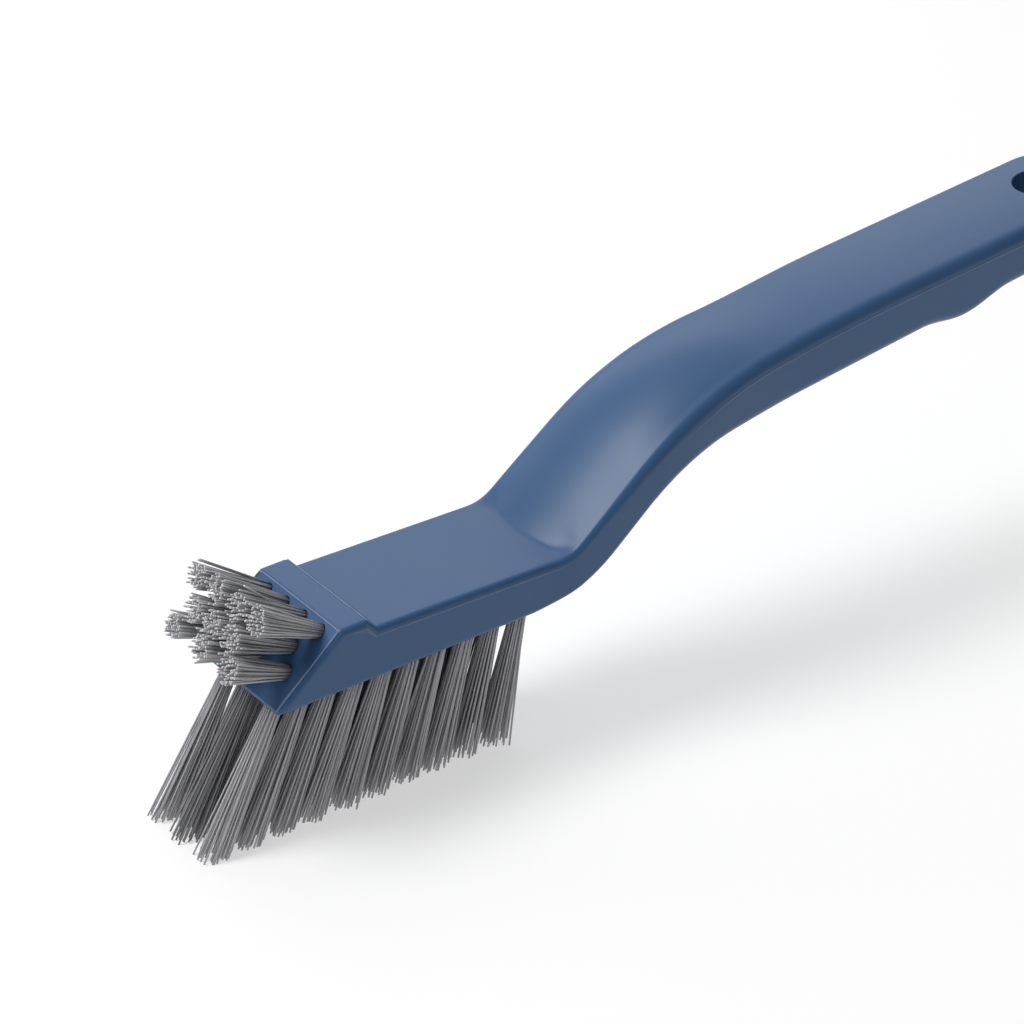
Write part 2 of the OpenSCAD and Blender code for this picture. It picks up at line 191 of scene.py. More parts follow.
# Ridge of the mould's parting line: radii, where they change as (start, length), the tapers at both
# ends, and how it sits on the side
RIDGE_HEAD_R = 0.40
RIDGE_NECK_R = 0.03
RIDGE_GRIP_R = 0.34
RIDGE_TIP_R = 0.004
RIDGE_FADES = (40, 8)
RIDGE_RETURNS = (66, 8)
RIDGE_START = 1.2
RIDGE_START_TAPER = 2
RIDGE_STOP = 1.5
RIDGE_STOP_TAPER = 12
RIDGE_SUNK_SHARE = 0.7
RIDGE_SUNK = 0.03
RIDGE_DROP = 0.2

# Line along the lip's back edge: how far behind the edge and inside the lip's ends it lies, and how
# its ends thin out
LIP_LINE_R = 0.16
LIP_LINE_BACK = 0.25
LIP_LINE_IN = 0.7
LIP_LINE_STEPS = 20
LIP_LINE_TAPER = 0.4
LIP_LINE_ENDS = 0.08

# Line round the slanted face: how far inside the face's sides and under its top it lies, and the
# steps of its path down the sides and across the top
NOSE_RIM_R = 0.15
NOSE_RIM_IN = 0.75
NOSE_RIM_TOP = 0.35
NOSE_RIM_STEP = 0.6
NOSE_RIM_STEPS = 28
NOSE_RIM_ACROSS = 24

# Tufts under the head, with their lean in degrees from the first column to the last
COLUMNS = 10
COLUMN_PITCH = 5.45
FIRST_COLUMN_IN = 4.9
FIRST_COLUMN = NOSE_X + FIRST_COLUMN_IN
ROWS = ("near", "middle", "far")
ROW_PITCH = 6.4
LEAN_FRONT = 28.5
LEAN_BACK = 15.5
LEAN_OUT = 1.5

# Tufts on the nose: name of the row, distance down from the lip, pitch, count, lean in degrees.
# Further down they are shorter, by this much for each millimetre. They lean outwards by this many
# degrees for each millimetre off the middle, and a tuft that points straight forward has that pitch.
FRONT_ROWS = [("top", 2.4, 5.13, 4, 30), ("centre", 7.0, 5.0, 3, 28), ("low", 10.9, 7.5, 3, 25)]
FRONT_TOP = FRONT_ROWS[0][1]
FRONT_CUT = 0.22
FRONT_LEAN_OUT = 0.4
FRONT_LENGTH = 14.4
FORWARD = 90

# Filaments of a tuft. In the pattern of one, which is 1 high, the tip is what lies above its level.
FILAMENTS = 58
FILAMENT_R = 0.165
FILAMENT_SIDES = 8
FILAMENT_STEPS = 4
TIP_LEVEL = 0.999
ROOT_DEPTH = 1.6
BUNDLE_ROOM = 0.12
PACKING_JITTER = 0.05
FIRST_SEED = 11

# How a tuft opens towards its tips, by this many times its width at the mouth, and how far its
# filaments then stand off their straight place
BASE_OPENING = 1.45
FRONT_OPENING = 1.1
BUNDLE_SWAY = 0.2
DRIFT = 0.18
STRAY_SHARE = 0.04
BASE_STRAY = 0.8
FRONT_STRAY = 1.2
CURL = 0.15
CURL_GAIN = 1.6

# How unevenly the tips are cut
FLOOR_CUT = 0.4
SHORT_SHARE = 0.08
SHORT_CUT = 1.3
FRONT_CUT_SPREAD = 0.16

# Ranges of tones of the filaments, from 0 for the darkest nylon to 1 for the lightest: the middle row
# under the head is kept dark as painted shade between the outer rows, which take the lighter range. Then
# the shares of a filament's own tone and of its streaks
MIDDLE_ROW_PAINTED_SHADE = (0.0, 0.15)
LIGHT_ROW = (0.45, 1.0)
STRAND_TONE = 0.7
STREAK_TONE = 0.3

# Darkest and lightest colour of each finish, its lowest roughness, and how much its patterns add
PLASTIC = ((0.028, 0.084, 0.195, 1), (0.032, 0.093, 0.215, 1))
# The parting line's colours are lighter than the plastic as a painted highlight along the ridge
SEAM_HIGHLIGHT = ((0.042, 0.100, 0.205, 1), (0.080, 0.145, 0.26, 1))
# The lip line's and the slanted face's rim's colours, lighter still, paint the highlight on those edges
EDGE_HIGHLIGHT = ((0.08, 0.145, 0.26, 1), (0.20, 0.28, 0.41, 1))
NYLON = ((0.09, 0.09, 0.10, 1), (0.53, 0.53, 0.555, 1))
# The cut tips are lighter than the strands as a painted highlight where they face the light
TIP_HIGHLIGHT_NYLON = ((0.26, 0.26, 0.27, 1), (0.74, 0.74, 0.76, 1))
METAL = ((0.42, 0.38, 0.30, 1), (0.60, 0.56, 0.48, 1))
FLOOR_GREY = ((0.47, 0.47, 0.47, 1), (0.49, 0.49, 0.49, 1))
WHITE = (1, 1, 1, 1)
PLASTIC_ROUGHNESS = 0.31
EDGE_HIGHLIGHT_ROUGHNESS = 0.34
NYLON_ROUGHNESS = 0.26
CUT_ROUGHNESS = 0.25
METAL_ROUGHNESS = 0.30
FLOOR_ROUGHNESS = 0.9
MOTTLE_ROUGHNESS = 0.08
GRAIN_ROUGHNESS = 0.05
PATCH_ROUGHNESS = 0.1
METAL_GRAIN_ROUGHNESS = 0.12
DENT_SHARE = 0.6
PLASTIC_IOR = 1.42
NYLON_IOR = 1.65

# Studio in metres and watts: the floor's size and glow, the light from all round, and the soft
# boxes as (name, place, aim, size, power)
FLOOR_SIZE = 12
FLOOR_CUTS = 4
FLOOR_GLOW = 0.52
WORLD_STRENGTH = 0.22
SOFTBOXES = [
    ("overhead", (-0.50, 0.31, 0.86), (0, 0, 0.03), (0.43, 0.43), 7.1),
    ("ceiling", (0.65, 0.85, 1.5), (0.2, 0.3, 0), (2.2, 2.2), 9.5),
    ("front_card", (-1.10, -0.40, 0.30), (0, 0, 0.01), (0.8, 0.5), 1.2),
    ("back_panel", (0.9, 1.3, 0.8), (0, 0, 0.03), (2.0, 0.9), 6.0),
    ("far_wall", (-0.25, 1.5, 0.52), (0, 0, 0.03), (1.0, 0.5), 2.2),
]


def place(x, y, z):
    """A point of the brush in metres, in the frame of the CAD model."""
    return Vector(((x + LIP_X) * MM, y * MM, z * MM))


def smooth(t):
    """Eases from 0 to 1 while t goes from 0 to 1, level at both ends."""
    t = min(1, max(0, t))
    return t * t * (3 - 2 * t)


def ease(x, start, length):
    """Eases from 0 to 1 over a stretch that begins at start."""
    return smooth((x - start) / length)


def mix(a, b, t):
    """Passes from a to b while t goes from 0 to 1."""
    return a + (b - a) * t


def inset(r, d):
    """Drop of a rounded edge of radius r at distance d from the edge."""
    return 0 if d >= r else r - math.sqrt(max(0, r * r - (r - d) ** 2))


# Side view and width of the handle

def height(x, line):
    """Height at x of a line whose corners are rounded, and its slope there."""
    for before, corner, after in zip(line, line[1:], line[2:]):
        rise_in = math.atan2(corner[1] - before[1], corner[0] - before[0])
        rise_out = math.atan2(after[1] - corner[1], after[0] - corner[0])
        radius = corner[2]
        reach = radius * math.tan(abs(rise_out - rise_in) / 2)
        if x < corner[0] - reach * math.cos(rise_in):
            return before[1] + (x - before[0]) * math.tan(rise_in), math.tan(rise_in)
        if x <= corner[0] + reach * math.cos(rise_out):
            side = 1 if rise_out > rise_in else -1
            centre_x = corner[0] - reach * math.cos(rise_in) - side * radius * math.sin(rise_in)
            centre_z = corner[1] - reach * math.sin(rise_in) + side * radius * math.cos(rise_in)
            fall = math.sqrt(max(TINY, radius ** 2 - (x - centre_x) ** 2))
            return centre_z - side * fall, side * (x - centre_x) / fall
    before, after = line[-2:]
    slope = (after[1] - before[1]) / (after[0] - before[0])
    return before[1] + (x - before[0]) * slope, slope


def nose_arc(x):
    """Half height at x of the circle that rounds the nose's lower corner."""
    return math.sqrt(max(0, NOSE_R ** 2 - (x - NOSE_CENTRE[0]) ** 2))


def top(x):
    """Height and slope of the top in the side view."""
    if x < NOSE_CENTRE[0] - NOSE_R * math.sin(NOSE_ANGLE):
        return NOSE_CENTRE[1] + nose_arc(x), NOSE_ARC_SLOPE
    return height(x, TOP_LINE)


def under(x):
    """Height and slope of the underside in the side view, with the finger stop."""
    if x < NOSE_CENTRE[0]:
        return NOSE_CENTRE[1] - nose_arc(x), 0
    z, slope = height(x, UNDER_LINE)
    off_centre = abs(x - STOP_X) / (STOP_L / 2)
    if off_centre < 1:
        z -= STOP_H * (1 + math.cos(math.pi * off_centre)) / 2
    return z, slope


def half_width(x):
    """Half of the handle's width, which is largest in the neck."""
    if x > ROUND_X:
        return math.sqrt(max(0, (GRIP_W / 2) ** 2 - (x - ROUND_X) ** 2))
    wide = mix(HEAD_W, NECK_W, ease(x, *HEAD_WIDENS))
    wide += mix(0, GRIP_W - NECK_W, ease(x, *NECK_NARROWS))
    return wide / 2 - inset(NOSE_CORNER, x - NOSE_TIP)


def edge_radius(x):
    """Radius of the rounded edges, which grows from the head to the grip."""
    wanted = mix(HEAD_EDGE, GRIP_EDGE, ease(x, *EDGE_GROWS))
    return min(wanted, EDGE_SHARE * (top(x)[0] - under(x)[0]))


def crown(x):
    """How far the middle of the top bulges above its edges."""
    rise = NECK_CROWN * ease(x, *CROWN_RISES)
    rise += (GRIP_CROWN - NECK_CROWN) * ease(x, *CROWN_FALLS)
    return rise * (1 - ease(x, *CROWN_ENDS))


def top_surface(x, q):
    """Height of the top, with q from 1 along the middle to 0 beside the rounded edges.
    The crowned neck meets the flat head in a crisp bowed crease, which softens towards the edges."""
    soft = top(x)[0] + crown(x) * q
    run = x - CREASE[0]
    head = CREASE[1] + run * HEAD_SLOPE
    shift = CREASE_SHIFT * (1 - smooth(run / CREASE_SHIFT_L))
    neck = CREASE[1] + (run - shift) * NECK_SLOPE + NECK_CROWN * q
    crisp = (head + neck + math.hypot(head - neck, CREASE_SOFTNESS)) / 2
    near_crease = ease(x, *CRISP_STARTS) * (1 - ease(x, *CRISP_ENDS))
    return mix(soft, crisp, near_crease * smooth(CREASE_REACH * q))


def flat_half(x, r):
    """Half width of the part of a section that the rounded edges leave."""
    if x > ROUND_X:
        return math.sqrt(max(0, (GRIP_W / 2 - r) ** 2 - (x - ROUND_X) ** 2))
    return max(0, half_width(x) - r)


def edge_distance(x, y):
    """Distance of a point from the outline of the handle seen from above, and 0 outside it."""
    if x > ROUND_X:
        return max(0, GRIP_W / 2 - math.hypot(x - ROUND_X, y))
    return max(0, half_width(x) - abs(y))


def section(x):
    """Ring of points round the handle at x, which starts at the middle of the top."""
    r = edge_radius(x)
    w = half_width(x)
    flat = flat_half(x, r)
    ys = [flat * i / FLAT_STEPS for i in range(FLAT_STEPS)]
    ys += [flat + (w - flat) * math.sin(math.pi / 2 * i / EDGE_STEPS) for i in range(EDGE_STEPS + 1)]
    drops = [inset(r, edge_distance(x, y)) for y in ys]
    centred = [1 - min(1, y / max(flat, LEAST_FLAT)) ** 2 for y in ys]
    _, top_slope = top(x)
    under_z, under_slope = under(x)
    steep_top = math.hypot(1, top_slope)
    steep_under = math.hypot(1, under_slope)
    upper = [(y, top_surface(x, q) - steep_top * drop) for y, q, drop in zip(ys, centred, drops)]
    lower = [(y, under_z + steep_under * drop) for y, drop in zip(ys, drops)]
    side = upper + lower[::-1]
    outline = side + [(-y, z) for y, z in reversed(side[1:-1])]
    return [place(x, y, z) for y, z in outline]


def stations():
    """Places of the sections: dense where the side view bends, sparse where it runs straight."""
    xs = [NOSE_CENTRE[0] - NOSE_R * math.cos(math.radians(a)) for a in NOSE_STATIONS]
    start = NOSE_CENTRE[0]
    for stop, count in STRETCHES:
        xs += [mix(start, stop, i / count) for i in range(count)]
        start = stop
    xs += [ROUND_X + GRIP_W / 2 * math.sin(math.radians(a)) for a in END_STATIONS]
    return xs


# Working in edit mode

def only(piece):
    """Selects this piece alone and makes it active."""
    bpy.ops.object.select_all(action="DESELECT")
    piece.select_set(True)
    bpy.context.view_layer.objects.active = piece


def fresh(add, **settings):
    """Adds a primitive with nothing else selected and opens it for editing, all selected."""
    bpy.ops.object.select_all(action="DESELECT")
    add(**settings)
    piece = bpy.context.object
    bpy.ops.object.mode_set(mode="EDIT")
    bpy.ops.mesh.select_all(action="SELECT")
    return piece


def done(piece, name, angle=SMOOTH_ANGLE):
    """Closes the edit, turns faces outwards, and leaves the object at the origin."""
    bpy.ops.mesh.select_all(action="SELECT")
    bpy.ops.mesh.remove_doubles(threshold=1e-7)
    bpy.ops.mesh.normals_make_consistent(inside=False)
    bpy.ops.object.mode_set(mode="OBJECT")
    bpy.ops.object.transform_apply(location=True, rotation=True, scale=True)
    bpy.ops.object.shade_smooth_by_angle(angle=math.radians(angle))
    piece.name = name
    return piece


def finish_with(piece, kind, **settings):
    """Adds a modifier with these settings and applies it."""
    only(piece)
    modifier = piece.modifiers.new(kind.title(), kind)
    for name, value in settings.items():
        setattr(modifier, name, value)
    bpy.ops.object.modifier_apply(modifier=modifier.name)


def shape_selection(piece, points):
    """Puts the selected vertices, in the order of their index, on these points."""
    mesh = bmesh.from_edit_mesh(piece.data)
    chosen = sorted((v for v in mesh.verts if v.select), key=lambda v: v.index)
    for vertex, point in zip(chosen, points):
        vertex.co = point
    bmesh.update_edit_mesh(piece.data)


def close_ends():
    """Fills the open rings at both ends of the piece that is being edited."""
    bpy.ops.mesh.select_all(action="DESELECT")
    bpy.ops.mesh.select_mode(type="EDGE")
    bpy.ops.mesh.select_non_manifold(extend=False)
    bpy.ops.mesh.edge_face_add()
    bpy.ops.mesh.select_mode(type="VERT")


def circle(centre, radius, u, v, sides):
    """Points of a circle in the plane of u and v, made metres from millimetres."""
    turns = [2 * math.pi * k / sides for k in range(sides)]
    return [place(*(centre + radius * (math.cos(t) * u + math.sin(t) * v))) for t in turns]


def drawn_through(name, rings, angle=SMOOTH_ANGLE):
    """A closed body: one ring, extruded from each ring of points to the next."""
    piece = fresh(bpy.ops.mesh.primitive_circle_add, vertices=len(rings[0]), radius=MM)
    for i, points in enumerate(rings):
        if i:
            bpy.ops.mesh.extrude_edges_move()
        shape_selection(piece, points)
    close_ends()
    return done(piece, name, angle)


# Places of the tufts

def turned(pitch, roll):
    """The directions across, sideways and into a tuft hole, as the CAD model turns it."""
    p = math.radians(pitch)
    r = math.radians(roll)
    return (Vector((math.cos(p), 0, -math.sin(p))),
            Vector((math.sin(r) * math.sin(p), math.cos(r), math.sin(r) * math.cos(p))),
            Vector((math.cos(r) * math.sin(p), -math.sin(r), math.cos(r) * math.cos(p))))


def base_tuft(row, column):
    """Mouth, pitch and roll of a tuft under the head, and no length, as the floor trims it."""
    lean = mix(LEAN_FRONT, LEAN_BACK, column / (COLUMNS - 1))
    x = FIRST_COLUMN + column * COLUMN_PITCH
    return (x, (row - 1) * ROW_PITCH, BRISTLE_H), lean, (row - 1) * LEAN_OUT, 0


def front_tuft(row, index):
    """Mouth, pitch, roll and length of a tuft on the nose."""
    _, down, pitch, count, lean = FRONT_ROWS[row]
    y = (index - (count - 1) / 2) * pitch
    mouth = (-down * math.cos(NOSE_ANGLE), y, LIP_Z - down * math.sin(NOSE_ANGLE))
    return mouth, FORWARD + lean, FRONT_LEAN_OUT * y, FRONT_LENGTH - FRONT_CUT * (down - FRONT_TOP)


def all_tufts():
    """Every tuft of the brush, by the name of its node."""
    tufts = {}
    for row, row_name in enumerate(ROWS):
        for column in range(COLUMNS):
            tufts[f"base_tuft_{row_name}_{column + 1}"] = base_tuft(row, column)
    for row, (row_name, _, _, count, _) in enumerate(FRONT_ROWS):
        for index in range(count):
            tufts[f"front_tuft_{row_name}_{index + 1}"] = front_tuft(row, index)
    return tufts


# Handle

def hole_cutter(mouth, pitch, roll):
    """A blunt drill for one tuft hole, with a small chamfer where it leaves the plastic."""
    across, sideways, into = turned(pitch, roll)
    rings = [circle(Vector(mouth) + into * depth, r, across, sideways, DRILL_SIDES) for depth, r in DRILL]
    return drawn_through("hole_cutter", rings)


def hanging_cutter():
    """A waisted core for the hanging hole, so that both rims come out rounded."""
    top_z, _ = top(HANG_X)
    under_z, _ = under(HANG_X)
    across = Vector((math.cos(HANG_TILT), 0, math.sin(HANG_TILT)))
    along = Vector((-math.sin(HANG_TILT), 0, math.cos(HANG_TILT)))
    middle = Vector((HANG_X, 0, (top_z + under_z) / 2))
    half = (top_z + crown(HANG_X) - under_z) / 2 * math.cos(HANG_TILT)
    rim = [(half + CORE_OVER, HANG_RIM)]
    for angle in CORE_RIM_ANGLES:
        turn = math.radians(angle)
        depth = half + CORE_RIM_START - HANG_RIM * (1 - math.cos(turn))
        rim.append((depth, HANG_RIM * (1 - math.sin(turn))))
    profile = [(-depth, grow) for depth, grow in rim] + rim[::-1]
    rings = [circle(middle + along * depth, HANG_R + grow, across, SIDEWAYS, CORE_SIDES)
             for depth, grow in profile]
    return drawn_through("hanging_cutter", rings)


def handle_shell(tufts):
    """The moulded handle: drawn through its sections, then drilled for its tufts and its hook."""
    piece = drawn_through("handle_shell", [section(x) for x in stations()])
    cutters = [hole_cutter(mouth, pitch, roll) for mouth, pitch, roll, _ in tufts]
    cutters.append(hanging_cutter())
    bpy.ops.object.select_all(action="DESELECT")
    for cutter in cutters:
        cutter.select_set(True)
    core = cutters[0]
    bpy.context.view_layer.objects.active = core
    bpy.ops.object.join()
    finish_with(piece, "BOOLEAN", operation="DIFFERENCE", solver="EXACT", object=core)
    bpy.data.objects.remove(core)
    only(piece)
    bpy.ops.object.shade_smooth_by_angle(angle=math.radians(SMOOTH_ANGLE))
    finish_with(piece, "WEIGHTED_NORMAL", keep_sharp=True, weight=50)
    return piece


def bead(name, path, radii):
    """A fine raised line along a path, partly sunk in the plastic."""
    rings = []
    for i, (point, r) in enumerate(zip(path, radii)):
        ahead = path[min(i + 1, len(path) - 1)] - path[max(i - 1, 0)]
        u = ahead.cross(BEAD_REFERENCE).normalized()
        v = u.cross(ahead).normalized()
        rings.append(circle(point, r, u, v, BEAD_SIDES))
    return drawn_through(name, rings, BEAD_SMOOTH_ANGLE)


def ridge_radius(x):
    """Radius of the parting line's ridge: full on the head, gone on the neck, a little finer on the
    grip, and pointed at both ends."""
    full = mix(RIDGE_HEAD_R, RIDGE_NECK_R, ease(x, *RIDGE_FADES))
    full = mix(full, RIDGE_GRIP_R, ease(x, *RIDGE_RETURNS))
    taper = ease(x, RIDGE_START, RIDGE_START_TAPER) * smooth((GRIP_END[0] - x) / RIDGE_STOP_TAPER)
    return full * taper + RIDGE_TIP_R


def parting_line(name, side):
    """The mould's parting line where the rounded top edge meets the side of the handle."""
    xs = [x for x in stations() if RIDGE_START < x < GRIP_END[0] - RIDGE_STOP]
    radii = [ridge_radius(x) for x in xs]
    path = []
    for x, r in zip(xs, radii):
        top_z, slope = top(x)
        edge_z = top_z - math.hypot(1, slope) * inset(edge_radius(x), edge_distance(x, half_width(x)))
        out = half_width(x) - RIDGE_SUNK_SHARE * r - RIDGE_SUNK
        path.append(Vector((x, side * out, edge_z - RIDGE_DROP)))
    return bead(name, path, radii)


def lip_line():
    """The edge at the back of the lip, as a fine line whose lighter colour paints the highlight on that
    edge.
    """
    half = half_width(LIP_L) - LIP_LINE_IN
    path, radii = [], []
    for i in range(LIP_LINE_STEPS + 1):
        t = i / LIP_LINE_STEPS
        swell = math.sin(math.pi * mix(LIP_LINE_ENDS, 1 - LIP_LINE_ENDS, t)) ** LIP_LINE_TAPER
        path.append(Vector((LIP_L + LIP_LINE_BACK, half * (1 - 2 * t), LIP_Z - LIP_LINE_R)))
        radii.append(LIP_LINE_R * swell)
    return bead("lip_line", path, radii)


def nose_rim():
    """The crisp line up the near side of the slanted face, along its top and down the far side."""
    half = half_width(0) - NOSE_RIM_IN
    down = [NOSE_RIM_STEP + i * NOSE_RIM_STEP for i in range(NOSE_RIM_STEPS)]
    over = [half * (2 * i / NOSE_RIM_ACROSS - 1) for i in range(1, NOSE_RIM_ACROSS)]
    points = [(d, -half) for d in reversed(down)]
    points += [(NOSE_RIM_TOP, y) for y in over]
    points += [(d, half) for d in down]
    path = [Vector((-d * math.cos(NOSE_ANGLE), y, LIP_Z - d * math.sin(NOSE_ANGLE))) for d, y in points]
    return bead("nose_rim", path, [NOSE_RIM_R] * len(path))


# Bristles

def filament_pattern():
    """One straight filament from z = 0 to 1 with unit radius: its points, its faces, and which of
    the faces is its cut tip."""
    piece = fresh(bpy.ops.mesh.primitive_cylinder_add, vertices=FILAMENT_SIDES, radius=1, depth=1,
                  end_fill_type="NGON", location=(0, 0, 0.5))
    bpy.ops.mesh.select_all(action="DESELECT")
    mesh = bmesh.from_edit_mesh(piece.data)
    for edge in mesh.edges:
        edge.select = edge.verts[0].co.z != edge.verts[1].co.z
    bmesh.update_edit_mesh(piece.data)
    bpy.ops.mesh.subdivide(number_cuts=FILAMENT_STEPS - 1)
    done(piece, "filament_pattern")
    points = [v.co.copy() for v in piece.data.vertices]
    faces = [list(f.vertices) for f in piece.data.polygons]
    tips = [min(points[i].z for i in face) > TIP_LEVEL for face in faces]
    bpy.data.objects.remove(piece)
    return points, faces, tips


def sunflower(n, radius, rng):
    """Evenly packed places in a disc, a little disturbed."""
    golden = math.pi * (3 - math.sqrt(5))
    places = []
    for i in range(n):
        r = radius * math.sqrt((i + 0.5) / n)
        places.append((r * math.cos(i * golden) + rng.uniform(-PACKING_JITTER, PACKING_JITTER),
                       r * math.sin(i * golden) + rng.uniform(-PACKING_JITTER, PACKING_JITTER)))
    return places


def scattered(rng, across, sideways, reach):
    """A random step across a bundle, whose usual size is reach."""
    return across * rng.gauss(0, reach) + sideways * rng.gauss(0, reach)


def floor_cut(rng):
    """Height above the floor at which a filament under the head ends, more for a few of them."""
    cut = rng.uniform(0, FLOOR_CUT)
    if rng.random() < SHORT_SHARE:
        cut += rng.uniform(0, SHORT_CUT)
    return cut


def filament(points, root, way, run, curl, u, v):
    """Points of one filament, which runs from its root with a slight curl."""
    spots = []
    for point in points:
        t = point.z
        bend = curl * (t * (1 - t) * CURL_GAIN)
        spots.append(root + way * (run * t) + bend + (u * point.x + v * point.y) * FILAMENT_R)
    return spots


def bundle(name, verts, polys, tips, shades):
    """The piece for one tuft: smooth sides, flat tips in a lighter finish of their own that paints a
    highlight on them, and each point's tone, which holds the middle row's painted shade.
    """
    mesh = bpy.data.meshes.new(name)
    mesh.from_pydata(verts, [], polys)
    shade = mesh.attributes.new("shade", "FLOAT", "POINT")
    shade.data.foreach_set("value", shades)
    mesh.polygons.foreach_set("material_index", [1 if tip else 0 for tip in tips])
    mesh.polygons.foreach_set("use_smooth", [not tip for tip in tips])
    piece = bpy.data.objects.new(name, mesh)
    bpy.context.scene.collection.objects.link(piece)
    return piece


def tuft(name, mouth, pitch, roll, length, seed, pattern):
    """A bundle of filaments that fans out of its hole, trimmed on the floor or at its own length."""
    rng = random.Random(seed)
    across, sideways, into = turned(pitch, roll)
    points, faces, tips = pattern
    on_floor = not length
    length = length or BRISTLE_H / into.z
    opening, stray = (BASE_OPENING, BASE_STRAY) if on_floor else (FRONT_OPENING, FRONT_STRAY)
    # The middle row's darker range is painted shade, standing in for the shade between the outer rows
    tones = MIDDLE_ROW_PAINTED_SHADE if "middle" in name else LIGHT_ROW
    sway = across * rng.uniform(-BUNDLE_SWAY, BUNDLE_SWAY)
    sway += sideways * rng.uniform(-BUNDLE_SWAY, BUNDLE_SWAY)
    verts, polys, tip_flags, shades = [], [], [], []
    for a, b in sunflower(FILAMENTS, HOLE_R - FILAMENT_R - BUNDLE_ROOM, rng):
        out = a * across + b * sideways
        reach = stray if rng.random() < STRAY_SHARE else DRIFT
        drift = scattered(rng, across, sideways, reach)
        curl = scattered(rng, across, sideways, CURL)
        root = Vector(mouth) + out + into * ROOT_DEPTH
        way = -into + out * (opening / length) + (sway + drift) / length
        if on_floor:
            run = (root.z - floor_cut(rng)) / -way.z
        else:
            run = length + ROOT_DEPTH + rng.gauss(0, FRONT_CUT_SPREAD)
        # u, v and the filament's way make a right-handed set, so its faces point outwards
        turn = rng.uniform(0, math.pi)
        u = across * math.cos(turn) + sideways * math.sin(turn)
        v = across * math.sin(turn) - sideways * math.cos(turn)
        polys += [[len(verts) + i for i in face] for face in faces]
        for spot in filament(points, root, way, run, curl, u, v):
            if on_floor:
                spot.z = max(0, spot.z)
            verts.append(place(*spot))
        tip_flags += tips
        shades += [mix(*tones, rng.random())] * len(points)
    return bundle(name, verts, polys, tip_flags, shades)


# Materials

class Value:
    """A number link in a node tree, for arithmetic written as Python."""

    def __init__(self, finish, socket):
        self.finish = finish
        self.socket = socket

    def _math(self, operation, left, right):
        return self.finish.add("ShaderNodeMath", {"operation": operation}, {0: left, 1: right})

    def __add__(self, other):
        return self._math("ADD", self, other)

    __radd__ = __add__

    def __mul__(self, other):
        return self._math("MULTIPLY", self, other)

    __rmul__ = __mul__


class Finish:
    """A material under construction: its tree, and one method that adds any node."""

    def __init__(self, name):
        self.material = bpy.data.materials.new(name)
        self.material.use_nodes = True
        self.nodes = self.material.node_tree.nodes
        self.links = self.material.node_tree.links
        self.shader = self.nodes["Principled BSDF"]

    def put(self, socket, value):
        """Links a value to a socket, or sets the socket to a constant."""
        if isinstance(value, Value):
            self.links.new(value.socket, socket)
        else:
            socket.default_value = value

    def add(self, kind, settings, inputs, output=0):
        """Adds a node of this type with its settings and the values or links of its sockets."""
        node = self.nodes.new(kind)
        for name, value in settings.items():
            setattr(node, name, value)
        for name, value in inputs.items():
            self.put(node.inputs[name], value)
        return Value(self, node.outputs[output])

    def noise(self, scale, detail=2.0, roughness=0.5):
        """A noise that is fixed to the piece."""
        where = self.add("ShaderNodeTexCoord", {}, {}, "Object")
        return self.add("ShaderNodeTexNoise", {}, {"Vector": where, "Scale": scale, "Detail": detail,
                                                   "Roughness": roughness})

    def colours(self, low, high, amount):
        """A colour between low and high."""
        return self.add("ShaderNodeMix", {"data_type": "RGBA"}, {0: amount, 6: low, 7: high}, 2)

    def set(self, **values):
        """Fills sockets of the surface, with underscores for the spaces in their names."""
        for name, value in values.items():
            self.put(self.shader.inputs[name.replace("_", " ")], value)

    def bump(self, relief, strength, distance):
        """Gives the surface a relief."""
        self.set(Normal=self.add("ShaderNodeBump", {}, {"Height": relief, "Strength": strength,
                                                         "Distance": distance}))


def satin_plastic():
    """Dark blue moulded plastic: a fine satin grain, slow changes of gloss, faint mottling."""
    finish = Finish("satin_blue_plastic")
    mottle = finish.noise(scale=90, detail=3)
    grain = finish.noise(scale=3800, detail=3, roughness=0.6)
    dents = finish.noise(scale=600)
    gloss = PLASTIC_ROUGHNESS + MOTTLE_ROUGHNESS * mottle + GRAIN_ROUGHNESS * grain
    finish.set(Base_Color=finish.colours(*PLASTIC, mottle), Roughness=gloss, IOR=PLASTIC_IOR)
    finish.bump(grain + DENT_SHARE * dents, strength=0.35, distance=0.03 * MM)
    return finish.material


def highlight_line_plastic(name, colours):
    """The same plastic, lighter, for the fine raised lines: its colours paint the highlights that the
    handle's edges and parting line catch.
    """
    finish = Finish(name)
    patches = finish.noise(scale=240, detail=3)
    finish.set(Base_Color=finish.colours(*colours, patches),
               Roughness=EDGE_HIGHLIGHT_ROUGHNESS + PATCH_ROUGHNESS * patches, IOR=PLASTIC_IOR)
    finish.bump(finish.noise(scale=1600), strength=0.2, distance=0.02 * MM)
    return finish.material


def nylon(name, colours, roughness):
    """Grey nylon whose tone differs at random from filament to filament and a little along each. The
    per-point tone also holds the middle row's painted shade, and the cut tips get lighter colours as a
    painted highlight.
    """
    finish = Finish(name)
    strand = finish.add("ShaderNodeAttribute", {"attribute_name": "shade"}, {}, "Fac")
    streak = finish.noise(scale=350)
    tone = STRAND_TONE * strand + STREAK_TONE * streak
    finish.set(Base_Color=finish.colours(*colours, tone),
               Roughness=roughness + PATCH_ROUGHNESS * streak, IOR=NYLON_IOR)
    finish.bump(finish.noise(scale=1500), strength=0.03, distance=0.01 * MM)
    return finish.material


def anchor_strip():
    """Metal strip with a fine grain."""
    finish = Finish("anchor_strip")
    grain = finish.noise(scale=2500)
    finish.set(Base_Color=finish.colours(*METAL, grain), Metallic=1.0,
               Roughness=METAL_ROUGHNESS + METAL_GRAIN_ROUGHNESS * grain)
    finish.bump(grain, strength=0.2, distance=0.02 * MM)
    return finish.material


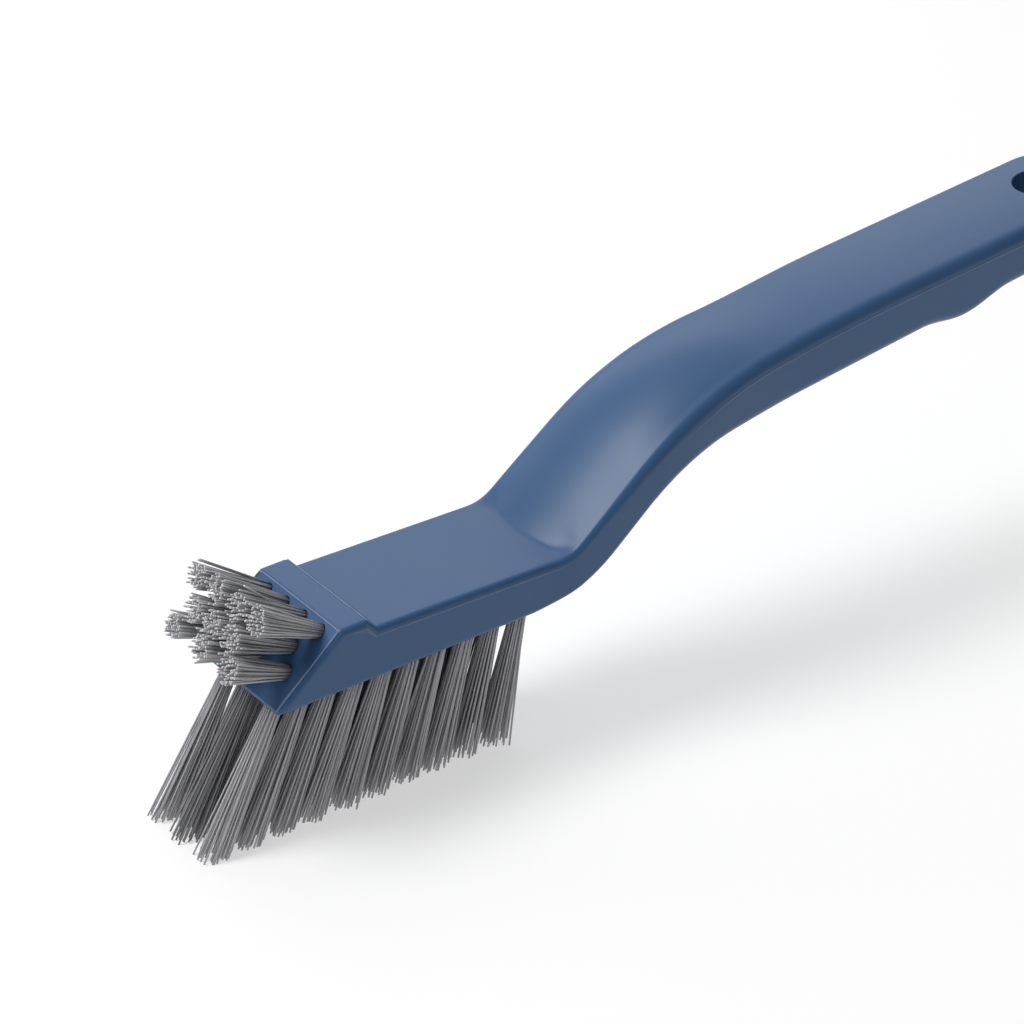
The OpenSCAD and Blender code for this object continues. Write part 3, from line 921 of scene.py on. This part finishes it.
def pale_floor():
    """Plain matt floor, whose faint glow keeps the shadows light."""
    finish = Finish("pale_floor")
    finish.set(Base_Color=finish.colours(*FLOOR_GREY, finish.noise(scale=3, detail=1)),
               Roughness=FLOOR_ROUGHNESS, Emission_Color=WHITE, Emission_Strength=FLOOR_GLOW)
    return finish.material


# Studio

def camera():
    """The camera at the photograph's place and angle."""
    data = bpy.data.cameras.new("photo_camera")
    data.sensor_width = CAMERA_SENSOR
    data.lens = CAMERA_LENS
    data.clip_start, data.clip_end = CAMERA_CLIP
    eye = bpy.data.objects.new("photo_camera", data)
    eye.location = place(*CAMERA_AT)
    eye.rotation_euler = (math.radians(90 - CAMERA_DIP), 0, math.radians(-CAMERA_TURN))
    bpy.context.scene.collection.objects.link(eye)
    bpy.context.scene.camera = eye


def softbox(name, at, aim, size, power):
    """A rectangular soft light that looks at its aim."""
    data = bpy.data.lights.new(name, "AREA")
    data.shape = "RECTANGLE"
    data.size, data.size_y = size
    data.energy = power
    lamp = bpy.data.objects.new(name, data)
    lamp.location = at
    lamp.rotation_euler = (Vector(aim) - Vector(at)).to_track_quat("-Z", "Y").to_euler()
    bpy.context.scene.collection.objects.link(lamp)


def studio():
    """The light from all round, the soft boxes and the floor."""
    world = bpy.data.worlds.new("studio")
    bpy.context.scene.world = world
    world.use_nodes = True
    background = world.node_tree.nodes["Background"]
    background.inputs["Color"].default_value = WHITE
    background.inputs["Strength"].default_value = WORLD_STRENGTH
    for box in SOFTBOXES:
        softbox(*box)
    bpy.ops.object.select_all(action="DESELECT")
    bpy.ops.mesh.primitive_grid_add(x_subdivisions=FLOOR_CUTS, y_subdivisions=FLOOR_CUTS, size=FLOOR_SIZE,
                                    location=(0, 0, 0))
    floor = bpy.context.object
    floor.name = "floor"
    floor.data.materials.append(pale_floor())
    bpy.context.scene.view_settings.view_transform = "Standard"


# The brush

def handle(tufts):
    """The handle with the fine lines of its mould and of its edges, in lighter colours that paint the
    highlights on them.
    """
    plastic = satin_plastic()
    seam = highlight_line_plastic("seam_highlight_blue_plastic", SEAM_HIGHLIGHT)
    edge_highlight = highlight_line_plastic("edge_highlight_blue_plastic", EDGE_HIGHLIGHT)
    shell = handle_shell(tufts)
    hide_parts("handle")
    near_line = parting_line("parting_line_near", -1)
    far_line = parting_line("parting_line_far", 1)
    # The parting lines, the lip line and the nose rim take lighter colours as painted highlights on those
    # edges
    finished = [(shell, plastic), (near_line, seam), (far_line, seam), (lip_line(), edge_highlight),
                (nose_rim(), edge_highlight)]
    for piece, material in finished:
        piece.data.materials.clear()
        piece.data.materials.append(material)
        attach(piece, "root")


def bristles(tufts):
    """The forty tufts, in two finishes: the strands, and their cut tips in lighter colours that paint a
    highlight on them.
    """
    strand = nylon("grey_nylon", NYLON, NYLON_ROUGHNESS)
    # The cut tips' finish is a painted highlight
    cut = nylon("cut_tip", TIP_HIGHLIGHT_NYLON, CUT_ROUGHNESS)
    pattern = filament_pattern()
    for seed, (node, spec) in enumerate(tufts.items(), FIRST_SEED):
        piece = tuft(node.replace("tuft", "bristles"), *spec, seed, pattern)
        piece.data.materials.append(strand)
        piece.data.materials.append(cut)
        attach(piece, "root")
        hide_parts(node)


def anchors():
    """Gives the metal anchors, which come from the CAD model, their finish."""
    metal = anchor_strip()
    for node in ("base_tuft_anchors", "front_tuft_anchors"):
        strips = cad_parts[node]
        strips.data.materials.clear()
        strips.data.materials.append(metal)


def build():
    """The whole scene."""
    camera()
    tufts = all_tufts()
    handle(tufts.values())
    bristles(tufts)
    anchors()
    studio()


build()
